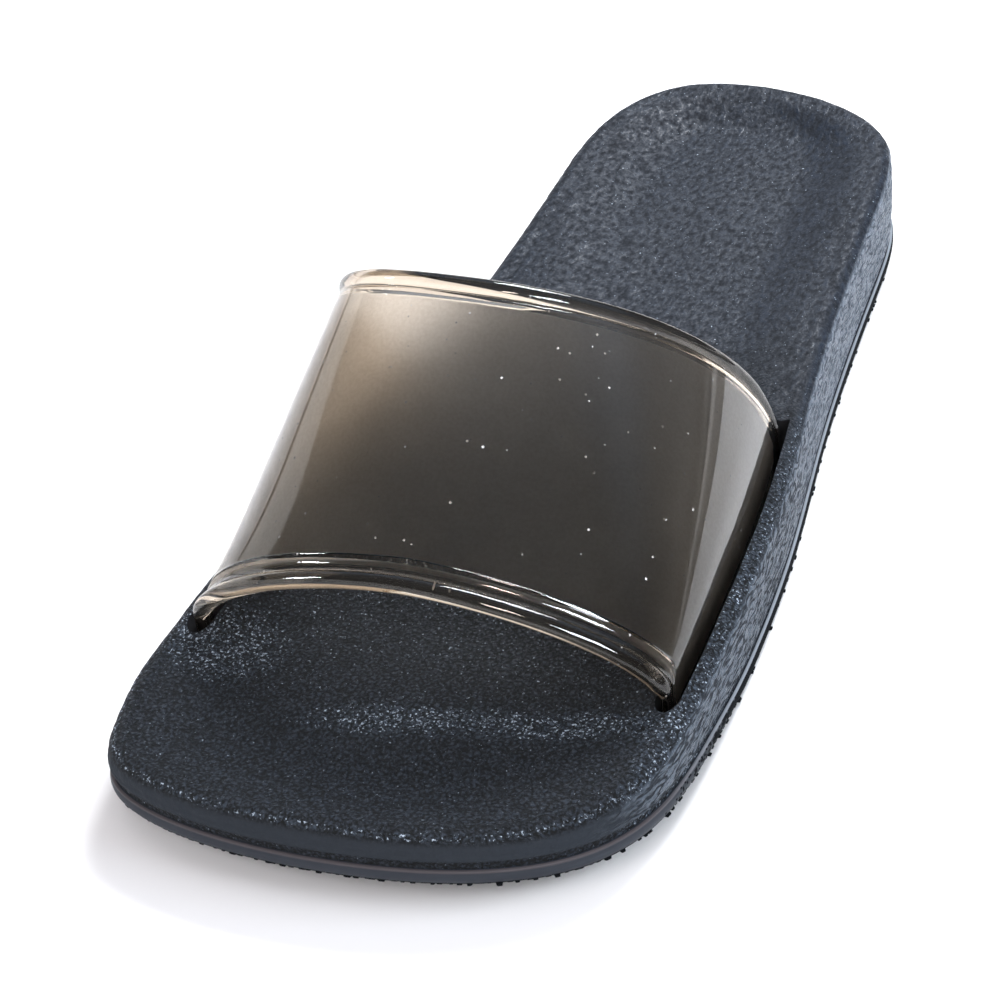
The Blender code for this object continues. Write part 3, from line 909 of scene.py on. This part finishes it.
def strap_material(name, frosted):
    """Smoky clear soft plastic with a little haze and dust; its inner face is frosted."""
    n = Nodes(name)
    place = n.add("TexCoord").outputs["Object"]
    slow = n.noise(place, 28.0, 2.0, 0.5)
    ripple = n.noise(n.stretch(place, (18.0, 7.0, 18.0)), 1.0, 1.5, 0.4)
    ripple = n.bump(ripple, 0.0006, 0.07)
    if frosted:
        fine = n.noise(place, 1500.0, 2.5, 0.65)
        dark = n.mix(slow, (0.78, 0.69, 0.57, 1), (0.84, 0.75, 0.64, 1))
        light = n.mix(slow, (0.95, 0.87, 0.76, 1), (0.99, 0.92, 0.83, 1))
        n.set(Base_Color=n.mix(n.range(fine, 0.3, 0.7), dark, light), IOR=1.40,
              Roughness=n.range(slow, 0.3, 0.7, 0.42, 0.48), Transmission_Weight=1.0,
              Normal=n.bump(fine, 0.00003, 0.5, ripple))
        return n.material
    tint = n.mix(slow, (0.605, 0.505, 0.395, 1), (0.670, 0.575, 0.470, 1))
    cell = n.cells(place, 420.0)
    picked = n.add("SeparateColor", inputs={"Color": cell["Color"]}).outputs
    chosen = n.math("GREATER_THAN", picked[0], 0.55)
    size = n.range(picked[1], 0.0, 1.0, 0.04, 0.12, False)
    dot = n.math("MULTIPLY", n.math("LESS_THAN", cell["Distance"], size), chosen)
    dot = n.math("MULTIPLY", dot, n.range(picked[2], 0.0, 1.0, 0.15, 0.9, False))
    n.set(Base_Color=n.mix(dot, tint, (0.75, 0.76, 0.78, 1)), Roughness=0.03, IOR=1.5,
          Transmission_Weight=n.math("SUBTRACT", 1.0, dot), Normal=ripple)
    return n.material


# Stage


def camera():
    """The view that was fitted to the sole's outline, rim and band in the photo."""
    place = Vector((0.156064, -0.354275, 0.285723))
    ahead = Vector((-0.36313828, 0.7098832, -0.60348689)).normalized()
    roll = math.radians(-6.666)
    right = ahead.cross(Vector((0, 0, 1))).normalized()
    up = right.cross(ahead)
    turned = math.cos(roll) * right + math.sin(roll) * up
    risen = -math.sin(roll) * right + math.cos(roll) * up
    data = bpy.data.cameras.new("camera")
    data.lens, data.sensor_width, data.clip_start = 78.648, 36.0, 0.01
    made = bpy.data.objects.new("camera", data)
    made.matrix_world = Matrix.Translation(place) @ Matrix((turned, risen, -ahead)).transposed().to_4x4()
    bpy.context.scene.collection.objects.link(made)
    bpy.context.scene.camera = made


def floor():
    data = bpy.data.meshes.new("floor")
    far, right = 1.6, 0.185
    corners = [(-far, -far, 0), (right, -far, 0), (right, far, 0), (-far, far, 0)]
    data.from_pydata(corners, [], [(0, 1, 2, 3)])
    n = Nodes("floor")
    place = n.add("TexCoord").outputs["Object"]
    slow = n.noise(place, 5.0, 2.0)
    away = n.add("VectorMath", operation="LENGTH", inputs={0: place}).outputs["Value"]
    n.set(Base_Color=n.mix(slow, (0.90, 0.89, 0.90, 1), (0.93, 0.93, 0.93, 1)), Roughness=0.55,
          Specular_IOR_Level=0.2, Emission_Color=(1, 1, 1, 1),
          Emission_Strength=n.range(away, 0.45, 1.10, 0.0, 0.8))
    data.materials.append(n.material)
    made = bpy.data.objects.new("floor", data)
    bpy.context.scene.collection.objects.link(made)


def lamp(name, azimuth, elevation, away, size, power, colour, shine=True, wash=True):
    """A soft rectangular lamp; azimuth 0 is in front of the toe and 90 on the outer side.

    With shine it shows in gloss, and with wash it lights what is matt.
    """
    side, rise = math.radians(azimuth), math.radians(elevation)
    way = Vector((math.sin(side) * math.cos(rise), -math.cos(side) * math.cos(rise), math.sin(rise)))
    data = bpy.data.lights.new(name, "AREA")
    data.shape = "RECTANGLE"
    data.size, data.size_y = size
    data.energy = power
    data.color = colour
    made = bpy.data.objects.new(name, data)
    made.location = Vector((0, -0.03, 0.02)) + way * away
    made.rotation_euler = way.to_track_quat("Z", "Y").to_euler()
    made.visible_glossy, made.visible_transmission = shine, False
    made.visible_diffuse = wash
    bpy.context.scene.collection.objects.link(made)


# What gloss shows at each height of the room, as the direction's Z and a brightness
RIGHT_SIDE = (
    (-1.000, 0.40), (-0.215, 0.40), (-0.210, 0.02), (-0.190, 0.02), (-0.180, 0.20), (-0.105, 0.50),
    (-0.100, 1.20), (-0.080, 1.20), (-0.075, 0.03), (-0.062, 0.03), (-0.057, 0.34), (-0.034, 0.30),
    (-0.028, 0.06), (0.020, 0.06), (0.040, 0.20), (0.400, 0.09), (1.000, 0.18),
)
LEFT_SIDE = (
    (-1.000, 0.50), (-0.030, 0.50), (-0.020, 0.02), (0.010, 0.02), (0.016, 1.25), (0.270, 1.35),
    (0.290, 0.08), (0.500, 0.06), (1.000, 0.18),
)


def world():
    """White to the eye and through clear parts, soft light for what is matt, a room for gloss."""
    made = bpy.data.worlds.new("world")
    bpy.context.scene.world = made
    made.use_nodes = True
    tree = made.node_tree
    tree.nodes.clear()
    link = tree.links.new

    def add(kind, **settings):
        node = tree.nodes.new("ShaderNode" + kind)
        for key, value in settings.items():
            setattr(node, key, value)
        return node

    def plain(colour, strength):
        node = add("Background")
        node.inputs["Color"].default_value = colour
        node.inputs["Strength"].default_value = strength
        return node.outputs[0]

    def combine(kind, one, other):
        node = add("Math", operation=kind, use_clamp=kind == "SUBTRACT")
        for socket, value in zip(node.inputs, (one, other)):
            if isinstance(value, float):
                socket.default_value = value
            else:
                link(value, socket)
        return node.outputs[0]

    def steps(value, low, high, top=1.0):
        node = add("MapRange", interpolation_type="SMOOTHSTEP")
        link(value, node.inputs["Value"])
        for key, number in zip(("From Min", "From Max", "To Max"), (low, high, top)):
            node.inputs[key].default_value = number
        return node.outputs["Result"]

    def heights(value, rows):
        ramp = add("ValToRGB")
        elements = ramp.color_ramp.elements
        for element, row in zip((elements[0], elements[1]), (rows[0], rows[-1])):
            element.position, element.color = (row[0] + 1) / 2, (row[1] / 2,) * 3 + (1,)
        for z, bright in rows[1:-1]:
            elements.new((z + 1) / 2).color = (bright / 2,) * 3 + (1,)
        node = add("MapRange")
        node.inputs["From Min"].default_value = -1.0
        link(value, node.inputs["Value"])
        link(node.outputs["Result"], ramp.inputs["Fac"])
        return ramp.outputs["Color"]

    path = add("LightPath")
    way = add("SeparateXYZ")
    link(add("TexCoord").outputs["Generated"], way.inputs[0])
    x, y, z = way.outputs
    sides = add("Mix", data_type="RGBA")
    link(steps(x, -0.1, 0.1), sides.inputs["Factor"])
    link(heights(z, LEFT_SIDE), sides.inputs["A"])
    link(heights(z, RIGHT_SIDE), sides.inputs["B"])
    behind = combine("MULTIPLY", steps(y, 0.0, 0.6), steps(z, 0.30, 0.60, 0.20))
    total = add("Mix", data_type="RGBA", blend_type="ADD")
    link(behind, total.inputs["Factor"])
    link(sides.outputs["Result"], total.inputs["A"])
    total.inputs["B"].default_value = (0.70, 0.95, 1.35, 1)
    room = add("Background")
    room.inputs["Strength"].default_value = 2.0
    link(total.outputs["Result"], room.inputs["Color"])
    below = combine("MULTIPLY", path.outputs["Is Transmission Ray"], steps(z, 0.02, -0.02))
    clear = combine("MAXIMUM", path.outputs["Is Camera Ray"], below)
    clear = combine("SUBTRACT", clear, path.outputs["Diffuse Depth"])
    clear = combine("SUBTRACT", clear, path.outputs["Glossy Depth"])
    gloss = combine("SUBTRACT", path.outputs["Is Glossy Ray"], clear)
    gloss = combine("SUBTRACT", gloss, path.outputs["Diffuse Depth"])
    first, second = add("MixShader"), add("MixShader")
    link(clear, first.inputs["Fac"])
    link(plain((0.97, 0.95, 1.0, 1), 0.31), first.inputs[1])
    link(plain((1.0, 1.0, 1.0, 1), 1.15), first.inputs[2])
    link(gloss, second.inputs["Fac"])
    link(first.outputs[0], second.inputs[1])
    link(room.outputs[0], second.inputs[2])
    out = add("OutputWorld")
    link(second.outputs[0], out.inputs["Surface"])


def main():
    foam = foam_material()
    walls = slot_material()
    sole = foam_mesh([foam, walls])
    cut(sole, slot_cutter("lateral slot", 1, STRAP_INSET_LATERAL))
    cut(sole, slot_cutter("medial slot", -1, STRAP_INSET_MEDIAL))
    # The black tread material is also the painted shade up the band's sides and heel
    tread = tread_and_shade_material()
    band = band_mesh([band_material(), tread])
    teeth = skirt_mesh([tread])
    strap = strap_mesh([strap_material("strap outer", False), strap_material("strap inner", True)])
    for piece in (sole, band, teeth, strap):
        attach(piece, "root")
    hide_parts("midsole_footbed")
    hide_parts("outsole")
    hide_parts("strap")
    camera()
    floor()
    world()
    lamp("key", 178, 48, 0.9, (0.34, 0.30), 10.5, (0.95, 0.975, 1.0))
    lamp("side", 96, 30, 0.9, (0.5, 0.4), 6.0, (0.84, 0.92, 1.0), shine=False)
    lamp("top", 20, 82, 1.1, (0.9, 0.9), 2.5, (1.0, 0.97, 0.99), shine=False)
    lamp("front", -5, 40, 0.9, (0.8, 0.5), 4.2, (1.0, 0.97, 0.98), shine=False)
    lamp("window", 47, 33, 0.9, (0.34, 0.20), 11.0, (0.86, 0.93, 1.0), wash=False)
    lamp("warm lamp", 17, 35, 0.9, (0.14, 0.14), 2.4, (1.0, 0.86, 0.76), wash=False)
    lamp("cool lamp", -58, 24, 0.9, (0.10, 0.16), 3.5, (0.9, 0.95, 1.0), wash=False)
    bpy.context.scene.view_settings.view_transform = "Standard"


main()
